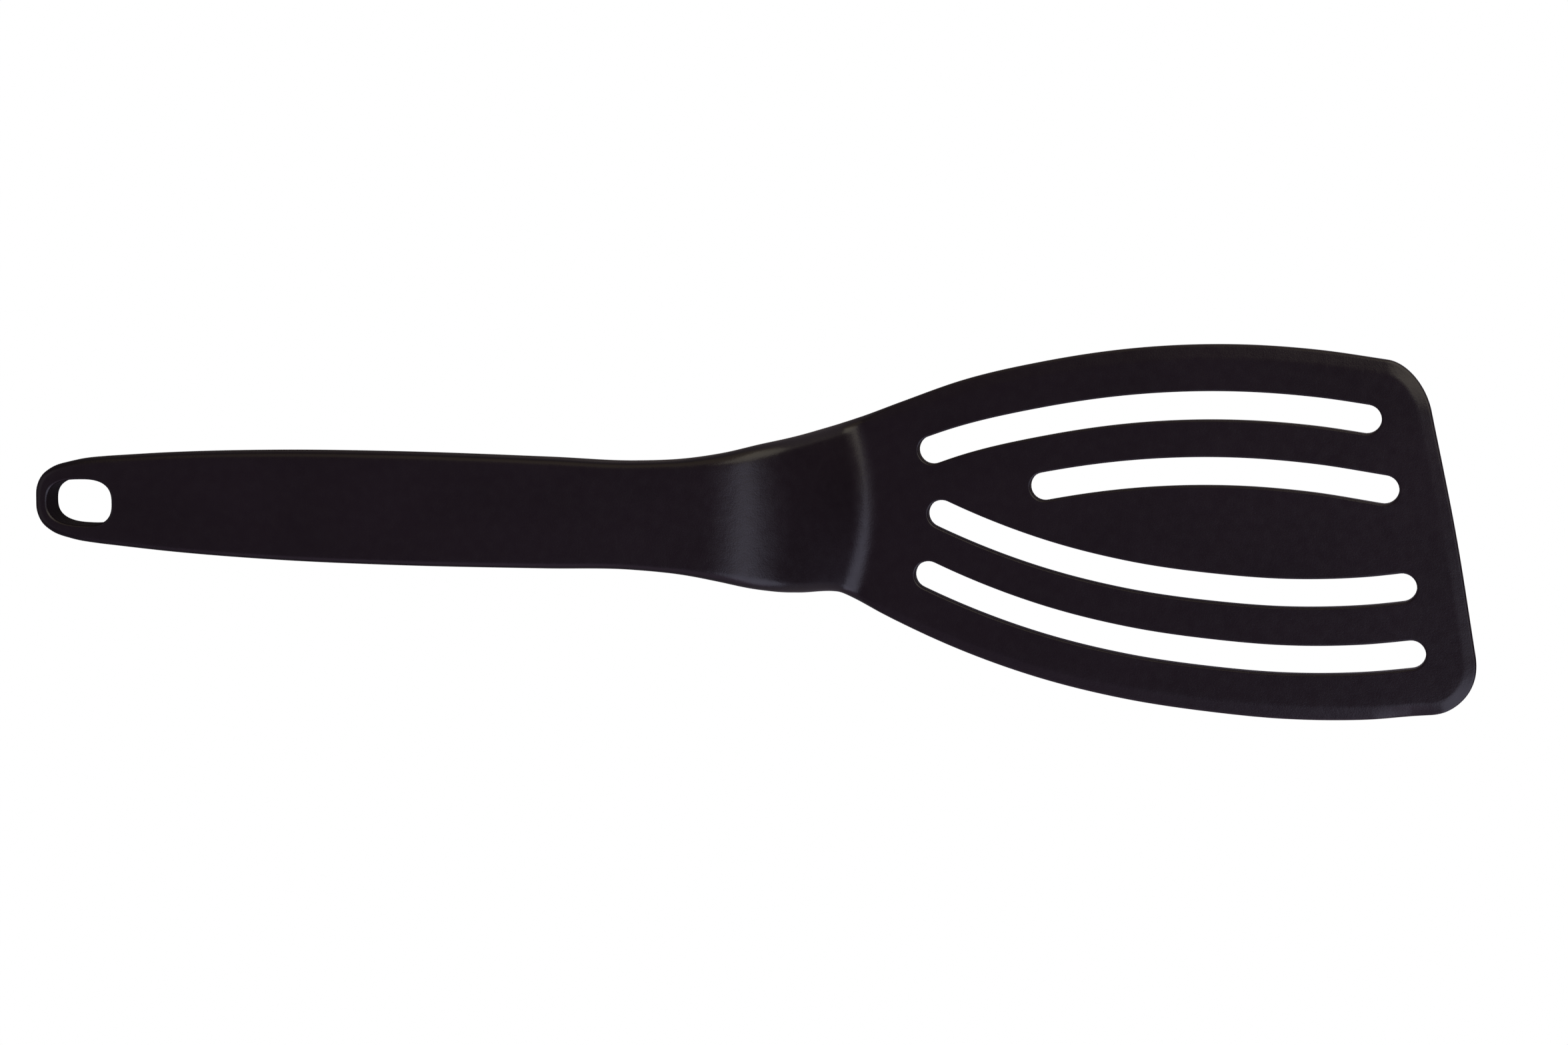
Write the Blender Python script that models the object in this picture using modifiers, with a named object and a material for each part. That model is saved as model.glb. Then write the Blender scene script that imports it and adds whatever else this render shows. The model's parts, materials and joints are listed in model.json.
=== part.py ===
"""Slotted turner with a steel core, lying on a table on its heel and on the end of its handle.

Everything is drawn in the tool's own frame, in millimetres: X runs along the tool towards the front
edge and is 0 at the heel, where the neck meets the blade; Y runs across; Z is 0 on the blade's
underside. One empty then tips the whole tool back on its heel until the handle's end touches down.
"""
import math

import bmesh
import bpy
import numpy as np
from mathutils import Matrix

MM = 0.001
GAP = 0.3                      # clearance between neighbouring pieces

# Side view of the overmoulded skin
BLADE_THICKNESS = 3.0
NECK_THICKNESS = 5.0
HANDLE_THICKNESS = 7.6
HANDLE_END_THICKNESS = 6.2
HANDLE_THINS_FROM = -156.0     # X where the underside starts to rise towards the thinner end
KNEE_HEIGHT = 24.0             # from the blade's top to the corner between neck and handle
NECK_SLOPE = math.radians(51.0)
HANDLE_SLOPE = math.radians(6.3)
KNEE_RADIUS = 28.0
HEEL_RADIUS = 7.3
HEEL_BOW = 0.0066              # the heel's fold line bows forward: setback in mm = HEEL_BOW * y * y

# Plan view
HANDLE_END_X = -182.0
FRONT_X = 131.9                # front edge on the centre line
HANDLE_CAP = [(0.17, 2.76), (1.35, 5.4), (3.7, 7.33), (8.2, 8.83)]     # distance from the end, half width
HANDLE_EDGE = [(-167, 9.8), (-150, 11.15), (-126, 12.25), (-100, 12.6), (-66, 12.3), (-47, 12.0),
               (-36, 12.8), (-28, 14.2), (-20, 16.2), (-12, 17.85)]
UPPER_EDGE = [(-5.5, 19.7), (-1, 21.3), (8, 24.95), (22, 30.4), (40, 35.2), (60, 38.8), (84, 40.4),
              (100, 39.8), (117, 37.9)]
LOWER_EDGE = [(-5.5, 18.6), (-1, 20.55), (8, 24.7), (22, 30.35), (40, 35.9), (60, 39.85), (80, 41.85),
              (97, 42.5), (112, 41.85), (129, 39.75)]
FRONT_EDGE = [(-26.4, 5.2), (-0.4, 0.0), (28.6, -6.9)]                   # y, distance ahead of FRONT_X
UPPER_CORNER = (115.5, 27.1)   # X where the side edge starts to turn, and y where the front edge ends
LOWER_CORNER = (128.0, -26.4)

# Slots: edge they follow, distance inside it (middle of the blade), growth of that towards both ends,
# X of the centres of the two round ends
SLOT_WIDTH = 6.4
SLOT_MIDDLE_X = 70.0
SLOT_HALF_SPAN = 50.0
SLOTS = [("upper", 13.5, 0.1, 15.9, 111.6),
         ("upper", 28.1, 0.3, 41.4, 116.0),
         ("lower", 28.05, 1.0, 18.4, 120.7),
         ("lower", 13.3, 0.6, 15.7, 123.25)]
LIP_WIDTH = 2.6                # bevel along the front edge: the steel stops behind it
LIP_THICKNESS = 1.6

# Hanging hole, a rounded square a little narrower towards the handle's end
HOLE_CENTRE = (-171.6, -0.4)
HOLE_HALF = (7.35, 5.2)
HOLE_SQUARENESS = 2.7
HOLE_TAPER = 0.05

# Steel core: blade, neck and tang in one stamping
STEEL_THICKNESS = 0.8
CORE_SIDE_INSET = 3.0
CORE_FRONT_INSET = 4.5
CORE_SLOT_MARGIN = 1.1
TANG_HALF_WIDTH = 8.0
TANG_END_X = -148.0
TANG_FLARE = (-48.0, -34.0)

# Handle inserts, riveted through the tang, one above it and one below
SKIN_WALL = 0.9
INSERT_RANGE = (18.0, 132.0)   # distance from the knee, along the handle
INSERT_SIDE_WALL = 1.5
RIVETS_AT = (38.0, 86.0)
RIVET_RADIUS = 1.5
RIVET_HEAD_RADIUS = 3.0
RIVET_HEAD = 0.6

# Holes left in the skin's underside by the pins that held the core in the mould
PIN_RADIUS = 1.5
HANDLE_PINS_AT = (26.0, 112.0)
BLADE_PINS_AT = (6.0, 84.0)

PARTS = bpy.data.collections.new("slotted_turner")
CUTTERS = bpy.data.collections.new("cutters")


def clear_scene():
    for old in list(bpy.data.objects):
        bpy.data.objects.remove(old, do_unlink=True)
    for collection in (PARTS, CUTTERS):
        bpy.context.scene.collection.children.link(collection)


# ---------------------------------------------------------------- curves

def fair_curve(stations):
    """Cubic through the stations. Its slope at each is the mean of the chords' slopes on both sides,
    weighted towards the shorter chord."""
    x, y = np.array(stations, float).T
    step = np.diff(x)
    rise = np.diff(y) / step
    slope = np.concatenate(([rise[0]], (rise[:-1] * step[1:] + rise[1:] * step[:-1])
                            / (step[:-1] + step[1:]), [rise[-1]]))

    def height(q):
        q = np.asarray(q, float)
        i = np.clip(np.searchsorted(x, q) - 1, 0, len(step) - 1)
        t = (q - x[i]) / step[i]
        s = 1 - t
        return ((1 + 2 * t) * s * s * y[i] + t * s * s * step[i] * slope[i]
                + t * t * (3 - 2 * t) * y[i + 1] - t * t * s * step[i] * slope[i + 1])
    return height


EDGES = {"upper": fair_curve(HANDLE_EDGE + UPPER_EDGE), "lower": fair_curve(HANDLE_EDGE + LOWER_EDGE)}
FRONT = fair_curve(FRONT_EDGE)


def corner_blend(start, start_heading, end, end_heading, steps=7):
    """Round corner: a cubic from start to end whose inner points lie on the two edges' tangents."""
    cross = start_heading[0] * end_heading[1] - start_heading[1] * end_heading[0]
    reach = ((end[0] - start[0]) * end_heading[1] - (end[1] - start[1]) * end_heading[0]) / cross
    corner = start + reach * start_heading
    fullness = 0.56
    a, b = start + fullness * (corner - start), end + fullness * (corner - end)
    t = np.linspace(0, 1, steps + 1)[:, None]
    return (1 - t) ** 3 * start + 3 * t * (1 - t) ** 2 * a + 3 * t * t * (1 - t) * b + t ** 3 * end


def heading(curve_x, curve_y, at, towards):
    """Unit direction of the curve at the parameter `at`, for a parameter growing by `towards`."""
    small = 0.01 * towards
    run = np.array([curve_x(at + small) - curve_x(at), curve_y(at + small) - curve_y(at)])
    return run / np.hypot(*run)


def blade_front(side_inset, front_inset):
    """Path round the front: off the upper edge, down the front edge and onto the lower edge."""
    across = side_inset * 1.02

    def upper(x):
        return EDGES["upper"](x) - across

    def lower(x):
        return across - EDGES["lower"](x)

    def front(y):
        return FRONT_X + FRONT(y) - front_inset * 1.02

    top_x, top_y = UPPER_CORNER[0] - front_inset, UPPER_CORNER[1] - side_inset * 0.4
    low_x, low_y = LOWER_CORNER[0] - front_inset, LOWER_CORNER[1] + side_inset * 0.4
    def itself(at):
        return float(at)

    top = corner_blend(np.array([top_x, upper(top_x)]), heading(itself, upper, top_x, 1),
                       np.array([front(top_y), top_y]), heading(front, itself, top_y, -1))
    low = corner_blend(np.array([front(low_y), low_y]), heading(front, itself, low_y, -1),
                       np.array([low_x, lower(low_x)]), heading(itself, lower, low_x, -1))
    ys = np.linspace(top_y, low_y, 5)[1:-1]
    return np.vstack([top, np.column_stack([front(ys), ys]), low])


def skin_outline():
    """Plan of the whole tool: round handle end, handle, neck and blade."""
    xs = np.concatenate([np.linspace(-167, -48, 9), np.linspace(-42, 10, 14), np.linspace(17, 108, 14)])
    cap = np.array(HANDLE_CAP)[::-1]
    upper_cap = np.column_stack([HANDLE_END_X + cap[:, 0], cap[:, 1]])
    tip = np.array([[HANDLE_END_X, 0.0]])
    upper = np.column_stack([xs, EDGES["upper"](xs)])
    lower = np.column_stack([xs, -EDGES["lower"](xs)])
    low_tail = np.array([[118.0, -EDGES["lower"](118.0)]])
    return np.vstack([tip, upper_cap[::-1], upper, blade_front(0, 0), low_tail, lower[::-1],
                      upper_cap * (1, -1)])


def core_outline(grow):
    """Plan of the steel core: blade and neck inside the skin's outline, then the narrow tang."""
    tang = TANG_HALF_WIDTH + grow
    inset = CORE_SIDE_INSET - grow
    xs = np.concatenate([np.linspace(*TANG_FLARE, 6), np.linspace(-28, 10, 9), np.linspace(17, 103, 13)])
    flare = np.clip((xs - TANG_FLARE[0]) / (TANG_FLARE[1] - TANG_FLARE[0]), 0, 1)
    flare = flare * flare * (3 - 2 * flare)
    upper = tang + (EDGES["upper"](xs) - inset - tang) * flare
    lower = tang + (EDGES["lower"](xs) - inset - tang) * flare
    turn = np.linspace(-math.pi / 2, math.pi / 2, 9)
    end = np.column_stack([TANG_END_X + tang - GAP - tang * np.cos(turn), tang * np.sin(turn)])
    return np.vstack([end, np.column_stack([xs, upper]), blade_front(inset, CORE_FRONT_INSET - grow),
                      np.column_stack([xs, -lower])[::-1]])


def slot_outline(slot, half_width):
    """Slot of constant width with full round ends. Its centre line follows an edge of the blade."""
    side, inset, growth, start, stop = slot
    sign = 1 if side == "upper" else -1
    xs = np.linspace(start, stop, 15)
    ys = sign * (EDGES[side](xs) - inset - growth * ((xs - SLOT_MIDDLE_X) / SLOT_HALF_SPAN) ** 2)
    along = np.column_stack([np.gradient(xs), np.gradient(ys)])
    along /= np.hypot(along[:, 0], along[:, 1])[:, None]
    left = np.column_stack([-along[:, 1], along[:, 0]])
    centre = np.column_stack([xs, ys])
    turn = np.linspace(0, math.pi, 9)[1:-1, None]
    far = centre[-1] + half_width * (np.cos(turn) * left[-1] + np.sin(turn) * along[-1])
    near = centre[0] + half_width * (-np.cos(turn) * left[0] - np.sin(turn) * along[0])
    return np.vstack([centre + half_width * left, far, (centre - half_width * left)[::-1], near])


def hole_outline():
    """Rounded square: both sine and cosine raised to the power that gives the squareness."""
    t = np.linspace(0, 2 * math.pi, 24, endpoint=False)
    power = 2 / HOLE_SQUARENESS
    u = np.sign(np.cos(t)) * np.abs(np.cos(t)) ** power
    v = np.sign(np.sin(t)) * np.abs(np.sin(t)) ** power
    return np.column_stack([HOLE_CENTRE[0] + HOLE_HALF[0] * u,
                            HOLE_CENTRE[1] + HOLE_HALF[1] * v * (1 + HOLE_TAPER * u)])


# ---------------------------------------------------------------- side view

KNEE = np.array([-KNEE_HEIGHT / math.tan(NECK_SLOPE), BLADE_THICKNESS + KNEE_HEIGHT])
HANDLE_BACK = np.array([-math.cos(HANDLE_SLOPE), math.sin(HANDLE_SLOPE)])
HANDLE_UP = np.array([math.sin(HANDLE_SLOPE), math.cos(HANDLE_SLOPE)])
NECK_UP = np.array([math.sin(NECK_SLOPE), math.cos(NECK_SLOPE)])
NECK_DOWN = np.array([math.cos(NECK_SLOPE), -math.sin(NECK_SLOPE)])
OVERRUN = 12.0                 # profiles run past the plan's ends, which cut them to length


def meet(point_a, heading_a, point_b, heading_b):
    """Where two lines cross."""
    cross = heading_a[0] * heading_b[1] - heading_a[1] * heading_b[0]
    gap = point_b - point_a
    return point_a + heading_a * (gap[0] * heading_b[1] - gap[1] * heading_b[0]) / cross


def arc_at(corner, before, after, radius, steps):
    """Arc of the given radius that rounds the corner between two other points of a line."""
    a = (before - corner) / np.hypot(*(before - corner))
    b = (after - corner) / np.hypot(*(after - corner))
    half = math.acos(float(np.clip(a @ b, -1, 1))) / 2
    centre = corner + (a + b) / np.hypot(*(a + b)) * radius / math.sin(half)
    first = corner + a * radius / math.tan(half) - centre
    last = corner + b * radius / math.tan(half) - centre
    start = math.atan2(first[1], first[0])
    sweep = (math.atan2(last[1], last[0]) - start + math.pi) % (2 * math.pi) - math.pi
    angle = start + sweep * np.linspace(0, 1, steps + 1)
    return centre + radius * np.column_stack([np.cos(angle), np.sin(angle)])


def side_line(handle_depth, neck_depth, blade_height, knee_radius, heel_radius, end_depth=None):
    """Line of the side view at a depth below the handle's and the neck's top, and at a height on the
    blade, with both bends rounded."""
    on_handle = KNEE - HANDLE_UP * handle_depth
    on_neck = KNEE - NECK_UP * neck_depth
    knee = meet(on_handle, HANDLE_BACK, on_neck, NECK_DOWN)
    heel = meet(on_neck, NECK_DOWN, np.array([0.0, blade_height]), np.array([1.0, 0.0]))
    length = (knee[0] - HANDLE_END_X) / math.cos(HANDLE_SLOPE)
    back = [knee + HANDLE_BACK * (length + OVERRUN)]
    if end_depth is not None:
        thins = knee + HANDLE_BACK * (knee[0] - HANDLE_THINS_FROM) / math.cos(HANDLE_SLOPE)
        end = knee + HANDLE_BACK * length + HANDLE_UP * (handle_depth - end_depth)
        back = [end + (end - thins) * OVERRUN / np.hypot(*(end - thins)), thins]
    front = np.array([FRONT_X + 2 * OVERRUN, blade_height])
    return np.vstack([back, arc_at(knee, back[-1], heel, knee_radius, 10),
                      arc_at(heel, knee, front, heel_radius, 7), [front]])


# ---------------------------------------------------------------- solids

def flat_solid(name, outlines, low, high, collection=CUTTERS):
    """Flat outlines filled and extruded between two heights, as one mesh object."""
    curve = bpy.data.curves.new(name, 'CURVE')
    curve.dimensions = '2D'
    curve.fill_mode = 'BOTH'
    curve.extrude = (high - low) / 2 * MM
    for outline in outlines:
        spline = curve.splines.new('POLY')
        spline.points.add(len(outline) - 1)
        flat = np.zeros((len(outline), 4))
        flat[:, :2] = np.asarray(outline) * MM
        flat[:, 3] = 1
        spline.points.foreach_set("co", flat.ravel())
        spline.use_cyclic_u = True
    drawn = bpy.data.objects.new(name + "_curve", curve)
    bpy.context.scene.collection.objects.link(drawn)
    bpy.context.view_layer.update()
    evaluated = drawn.evaluated_get(bpy.context.evaluated_depsgraph_get())
    mesh = bpy.data.meshes.new_from_object(evaluated)
    bpy.data.objects.remove(drawn, do_unlink=True)
    bpy.data.curves.remove(curve)
    bm = bmesh.new()
    bm.from_mesh(mesh)
    bmesh.ops.remove_doubles(bm, verts=bm.verts, dist=0.00001)
    bmesh.ops.translate(bm, verts=bm.verts, vec=(0, 0, (low + high) / 2 * MM))
    bmesh.ops.recalc_face_normals(bm, faces=bm.faces)
    bm.to_mesh(mesh)
    bm.free()
    mesh.name = name
    body = bpy.data.objects.new(name, mesh)
    collection.objects.link(body)
    return body


def bent_slab(name, top, bottom, collection=CUTTERS):
    """Side view between two lines, carried across the tool, with the heel's fold bowed forward."""
    half_span = 50.0
    strips = 14
    slab = flat_solid(name, [np.vstack([top, bottom[::-1]])], -half_span, half_span, collection)
    bm = bmesh.new()
    bm.from_mesh(slab.data)
    bmesh.ops.rotate(bm, verts=bm.verts, cent=(0, 0, 0), matrix=Matrix.Rotation(math.pi / 2, 3, 'X'))
    long_edges = [e for e in bm.edges if abs(e.verts[0].co.y - e.verts[1].co.y) > half_span * MM
                  and abs(e.verts[0].co.x - e.verts[1].co.x) < 0.01 * MM
                  and e.verts[0].co.x > (KNEE[0] - KNEE_RADIUS) * MM]
    bmesh.ops.subdivide_edges(bm, edges=long_edges, cuts=strips - 1)
    for vert in bm.verts:
        lowness = 1 - (vert.co.z / MM - BLADE_THICKNESS) / KNEE_HEIGHT
        y = vert.co.y / MM
        vert.co.x -= HEEL_BOW * min(y * y, 600.0) * max(0.0, min(1.0, lowness)) * MM
    bm.to_mesh(slab.data)
    bm.free()
    return slab


def boolean(body, operation, tool):
    """Cut the body with the tool, which stays as a hidden wire object."""
    tool.display_type = 'WIRE'
    tool.hide_render = True
    step = body.modifiers.new(tool.name, 'BOOLEAN')
    step.operation = operation
    step.solver = 'EXACT'
    step.object = tool


def finish(body, colour, roughness, metallic=0.0):
    """Give the sub-part its material."""
    material = bpy.data.materials.new(body.name)
    material.use_nodes = True
    shader = material.node_tree.nodes["Principled BSDF"]
    shader.inputs["Base Color"].default_value = (*colour, 1)
    shader.inputs["Roughness"].default_value = roughness
    shader.inputs["Metallic"].default_value = metallic
    body.data.materials.clear()
    body.data.materials.append(material)


def round_bar(name, radius, low, high, collection=CUTTERS):
    """Upright cylinder between two heights."""
    mesh = bpy.data.meshes.new(name)
    bm = bmesh.new()
    bmesh.ops.create_cone(bm, cap_ends=True, segments=20, radius1=radius * MM, radius2=radius * MM,
                          depth=(high - low) * MM,
                          matrix=Matrix.Translation((0, 0, (low + high) / 2 * MM)))
    bm.to_mesh(mesh)
    bm.free()
    bar = bpy.data.objects.new(name, mesh)
    collection.objects.link(bar)
    return bar


def put_on_handle(body, distance):
    """Place a body drawn about the handle's top, at a distance back from the knee."""
    spot = KNEE + HANDLE_BACK * distance
    body.location = (spot[0] * MM, 0, spot[1] * MM)
    body.rotation_euler.y = HANDLE_SLOPE


def make_skin():
    """Black overmoulded skin: the whole visible tool, hollow round its core."""
    top = side_line(0, 0, BLADE_THICKNESS, KNEE_RADIUS, HEEL_RADIUS)
    bottom = side_line(HANDLE_THICKNESS, NECK_THICKNESS, 0, KNEE_RADIUS - HANDLE_THICKNESS,
                       HEEL_RADIUS + NECK_THICKNESS, HANDLE_END_THICKNESS)
    skin = bent_slab("overmould_skin", top, bottom, PARTS)
    reach = 80.0
    boolean(skin, 'INTERSECT', flat_solid("skin_plan", [skin_outline()], -reach, reach))
    slots = [slot_outline(slot, SLOT_WIDTH / 2) for slot in SLOTS]
    boolean(skin, 'DIFFERENCE', flat_solid("slots_and_hole", slots + [hole_outline()], -reach, reach))
    boolean(skin, 'DIFFERENCE', lip_cutter())
    boolean(skin, 'DIFFERENCE', core_slab("core_cavity", GAP, CUTTERS))
    boolean(skin, 'DIFFERENCE', insert_blank("insert_cavity", SKIN_WALL, HANDLE_THICKNESS - SKIN_WALL,
                                             GAP, CUTTERS))
    for number, x in enumerate(BLADE_PINS_AT):
        pin = round_bar("blade_pin_%d" % number, PIN_RADIUS, -2, BLADE_THICKNESS / 2)
        pin.location.x = x * MM
        boolean(skin, 'DIFFERENCE', pin)
    for number, distance in enumerate(HANDLE_PINS_AT):
        pin = round_bar("handle_pin_%d" % number, PIN_RADIUS, -HANDLE_THICKNESS - 2,
                        SKIN_WALL + GAP / 2 - HANDLE_THICKNESS)
        put_on_handle(pin, distance)
        boolean(skin, 'DIFFERENCE', pin)
    finish(skin, (0.013, 0.012, 0.013), 0.45)


def lip_cutter():
    """Wedge that slopes the blade's top down to the thin front lip, along the slanting front edge."""
    depth = 20.0
    length = 140.0
    back = np.array([FRONT_X + FRONT(0.0) - LIP_WIDTH, 0.0])
    slant = math.atan2(FRONT(-26.4) - FRONT(25.6), 52.0)
    wedge = flat_solid("lip_wedge", [[(0, -length / 2), (depth, -length / 2), (depth, length / 2),
                                      (0, length / 2)]], 0, depth)
    wedge.location = (back[0] * MM, 0, BLADE_THICKNESS * MM)
    wedge.rotation_euler = (0, math.atan2(BLADE_THICKNESS - LIP_THICKNESS, LIP_WIDTH), slant)
    return wedge


def core_slab(name, grow, collection):
    """Steel core's shape, grown on every side for the cavity that holds it."""
    half = STEEL_THICKNESS / 2 + grow
    handle, neck, blade = HANDLE_THICKNESS / 2, NECK_THICKNESS / 2, BLADE_THICKNESS / 2
    top = side_line(handle - half, neck - half, blade + half, KNEE_RADIUS - handle + half,
                    HEEL_RADIUS + neck - half)
    bottom = side_line(handle + half, neck + half, blade - half, KNEE_RADIUS - handle - half,
                       HEEL_RADIUS + neck + half)
    slab = bent_slab(name, top, bottom, collection)
    reach = 80.0
    boolean(slab, 'INTERSECT', flat_solid(name + "_plan", [core_outline(grow)], -reach, reach))
    half_slot = SLOT_WIDTH / 2 + CORE_SLOT_MARGIN - grow
    boolean(slab, 'DIFFERENCE', flat_solid(name + "_slots", [slot_outline(s, half_slot) for s in SLOTS],
                                           -reach, reach))
    return slab


def make_core():
    """Stamped spring-steel blade, neck and tang, with clear holes for the rivets."""
    core = core_slab("steel_core", 0, PARTS)
    for number, distance in enumerate(RIVETS_AT):
        drill = round_bar("core_drill_%d" % number, RIVET_RADIUS + GAP, -HANDLE_THICKNESS, 0)
        put_on_handle(drill, distance)
        boolean(core, 'DIFFERENCE', drill)
    finish(core, (0.55, 0.55, 0.56), 0.3, 1.0)


def insert_blank(name, depth_top, depth_bottom, grow, collection):
    """Bar that fills the handle between two depths. Its sides follow the handle's, its corners are round."""
    first, last = -INSERT_RANGE[1] - grow, -INSERT_RANGE[0] + grow
    corner = 4.0

    def half_width(x):
        return EDGES["upper"](KNEE[0] + x * math.cos(HANDLE_SLOPE)) - INSERT_SIDE_WALL - GAP + grow

    xs = np.linspace(first + corner, last - corner, 9)
    side = np.column_stack([xs, half_width(xs)])
    east = np.array([1.0, 0.0])
    south = np.array([0.0, -1.0])
    front = corner_blend(side[-1], east, np.array([last, side[-1, 1] - corner]), south, 5)
    back = corner_blend(np.array([first, side[0, 1] - corner]), -south, side[0], east, 5)
    half = np.vstack([back, side[1:-1], front])
    bar = flat_solid(name, [np.vstack([half, half[::-1] * (1, -1)])], -depth_bottom, -depth_top, collection)
    put_on_handle(bar, 0)
    return bar


def make_inserts():
    """Upper and lower stiffening inserts, drilled and countersunk for the rivets."""
    tang_top = (HANDLE_THICKNESS - STEEL_THICKNESS) / 2 - GAP
    layers = {"handle_insert_upper": (SKIN_WALL + GAP, tang_top),
              "handle_insert_lower": (HANDLE_THICKNESS - tang_top, HANDLE_THICKNESS - SKIN_WALL - GAP)}
    for name, (depth_top, depth_bottom) in layers.items():
        insert = insert_blank(name, depth_top, depth_bottom, 0, PARTS)
        outer = -depth_top if name.endswith("upper") else -depth_bottom
        sink = RIVET_HEAD + GAP
        for number, distance in enumerate(RIVETS_AT):
            drill = round_bar("%s_drill_%d" % (name, number), RIVET_RADIUS + GAP, -HANDLE_THICKNESS, 0)
            seat = round_bar("%s_seat_%d" % (name, number), RIVET_HEAD_RADIUS + GAP, outer - sink,
                             outer + sink)
            for tool in (drill, seat):
                put_on_handle(tool, distance)
                boolean(insert, 'DIFFERENCE', tool)
        finish(insert, (0.62, 0.6, 0.55), 0.5)


def make_rivets():
    """Two flat-headed rivets through inserts and tang: a turned profile, from its top to its foot."""
    top = -(SKIN_WALL + GAP)
    foot = -(HANDLE_THICKNESS - SKIN_WALL - GAP)
    profile = [(0, top), (RIVET_HEAD_RADIUS, top), (RIVET_HEAD_RADIUS, top - RIVET_HEAD),
               (RIVET_RADIUS, top - RIVET_HEAD), (RIVET_RADIUS, foot + RIVET_HEAD),
               (RIVET_HEAD_RADIUS, foot + RIVET_HEAD), (RIVET_HEAD_RADIUS, foot), (0, foot)]
    for name, distance in zip(("tang_rivet_front", "tang_rivet_rear"), RIVETS_AT):
        mesh = bpy.data.meshes.new(name)
        mesh.from_pydata([(r * MM, 0, z * MM) for r, z in profile],
                         [(i, i + 1) for i in range(len(profile) - 1)], [])
        rivet = bpy.data.objects.new(name, mesh)
        PARTS.objects.link(rivet)
        turn = rivet.modifiers.new("turn", 'SCREW')
        turn.steps = turn.render_steps = 20
        turn.use_merge_vertices = True
        turn.merge_threshold = 0.00001
        put_on_handle(rivet, distance)
        finish(rivet, (0.6, 0.6, 0.61), 0.35, 1.0)


def lay_down():
    """Tip the tool back until it lies on the round of its heel and on the lower edge of its handle's
    end, with the origin under the middle of its box."""
    bottom = side_line(HANDLE_THICKNESS, NECK_THICKNESS, 0, KNEE_RADIUS - HANDLE_THICKNESS,
                       HEEL_RADIUS + NECK_THICKNESS, HANDLE_END_THICKNESS)
    end = bottom[0] + (bottom[1] - bottom[0]) * (HANDLE_END_X - bottom[0, 0]) / (bottom[1, 0] - bottom[0, 0])
    heel = bottom[(bottom[:, 0] > KNEE[0]) & (bottom[:, 0] < 2 * HEEL_RADIUS)]
    tip = max(math.atan2(end[1] - z, x - end[0]) for x, z in heel)
    stand = bpy.data.objects.new("lying_tool", None)
    PARTS.objects.link(stand)
    for body in list(PARTS.objects) + list(CUTTERS.objects):
        if body is not stand:
            body.parent = stand
    stand.rotation_euler.y = -tip
    bpy.context.view_layer.update()
    skin = bpy.data.objects["overmould_skin"].evaluated_get(bpy.context.evaluated_depsgraph_get())
    corners = np.array([tuple(skin.matrix_world @ v.co) for v in skin.data.vertices])
    low, high = corners.min(axis=0), corners.max(axis=0)
    stand.location = (-(low[0] + high[0]) / 2, -(low[1] + high[1]) / 2, -low[2])


clear_scene()
make_skin()
make_core()
make_inserts()
make_rivets()
lay_down()
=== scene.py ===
import json
import math

import bpy
import numpy as np
from mathutils import Matrix, Vector
from mathutils.geometry import delaunay_2d_cdt


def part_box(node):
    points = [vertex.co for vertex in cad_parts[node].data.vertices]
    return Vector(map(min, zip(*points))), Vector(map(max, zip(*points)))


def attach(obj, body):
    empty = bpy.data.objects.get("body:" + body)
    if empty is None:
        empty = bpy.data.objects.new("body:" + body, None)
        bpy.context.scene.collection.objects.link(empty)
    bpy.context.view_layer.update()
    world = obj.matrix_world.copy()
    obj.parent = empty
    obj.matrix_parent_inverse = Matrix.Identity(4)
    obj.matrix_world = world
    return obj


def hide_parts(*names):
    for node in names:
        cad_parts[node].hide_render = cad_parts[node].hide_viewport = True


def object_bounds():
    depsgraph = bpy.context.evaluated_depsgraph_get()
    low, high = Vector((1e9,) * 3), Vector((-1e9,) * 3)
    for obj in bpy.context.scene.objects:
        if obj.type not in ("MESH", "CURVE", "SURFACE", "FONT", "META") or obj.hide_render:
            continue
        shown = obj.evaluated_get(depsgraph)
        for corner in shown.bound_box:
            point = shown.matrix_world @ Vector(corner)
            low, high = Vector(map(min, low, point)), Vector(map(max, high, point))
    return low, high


# Slotted turner, lying on its heel and on the end of its handle. The one surface that shows, the black
# silicone skin, is worked out in the tool's own frame in millimetres: X runs along the tool towards the
# front edge and is 0 at the heel, Y runs across, Z is 0 on the blade's underside. tool_to_room() then
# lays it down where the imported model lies.

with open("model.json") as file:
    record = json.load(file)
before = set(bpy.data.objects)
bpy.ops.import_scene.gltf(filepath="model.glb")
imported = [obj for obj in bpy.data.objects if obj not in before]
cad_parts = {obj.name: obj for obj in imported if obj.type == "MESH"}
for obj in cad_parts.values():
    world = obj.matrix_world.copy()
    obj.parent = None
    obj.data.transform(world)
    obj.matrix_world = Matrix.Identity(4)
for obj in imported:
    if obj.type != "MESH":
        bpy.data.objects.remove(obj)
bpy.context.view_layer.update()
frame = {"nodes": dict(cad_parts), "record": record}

MM = 0.001

# Side view. The heel's fold stands HEEL_LEAD further forward in the middle, and falls back on both sides
# by HEEL_BOW times the distance from the middle squared, up to HEEL_BOW_LIMIT of that square.
BLADE_THICKNESS = 3.0
NECK_THICKNESS = 5.0
HANDLE_THICKNESS = 7.6
HANDLE_END_THICKNESS = 6.2
HANDLE_THINS_FROM = -156.0
KNEE_HEIGHT = 24.0
NECK_SLOPE = math.radians(51.0)
HANDLE_SLOPE = math.radians(6.3)
KNEE_RADIUS = 28.0
HEEL_RADIUS = 7.3
HEEL_LEAD = 0.6
HEEL_BOW = 0.0095
HEEL_BOW_LIMIT = 600.0
BOW_ROUNDS = 12
OVERRUN = 12.0
KNEE_STEPS = 90
HEEL_STEPS = 60

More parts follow.
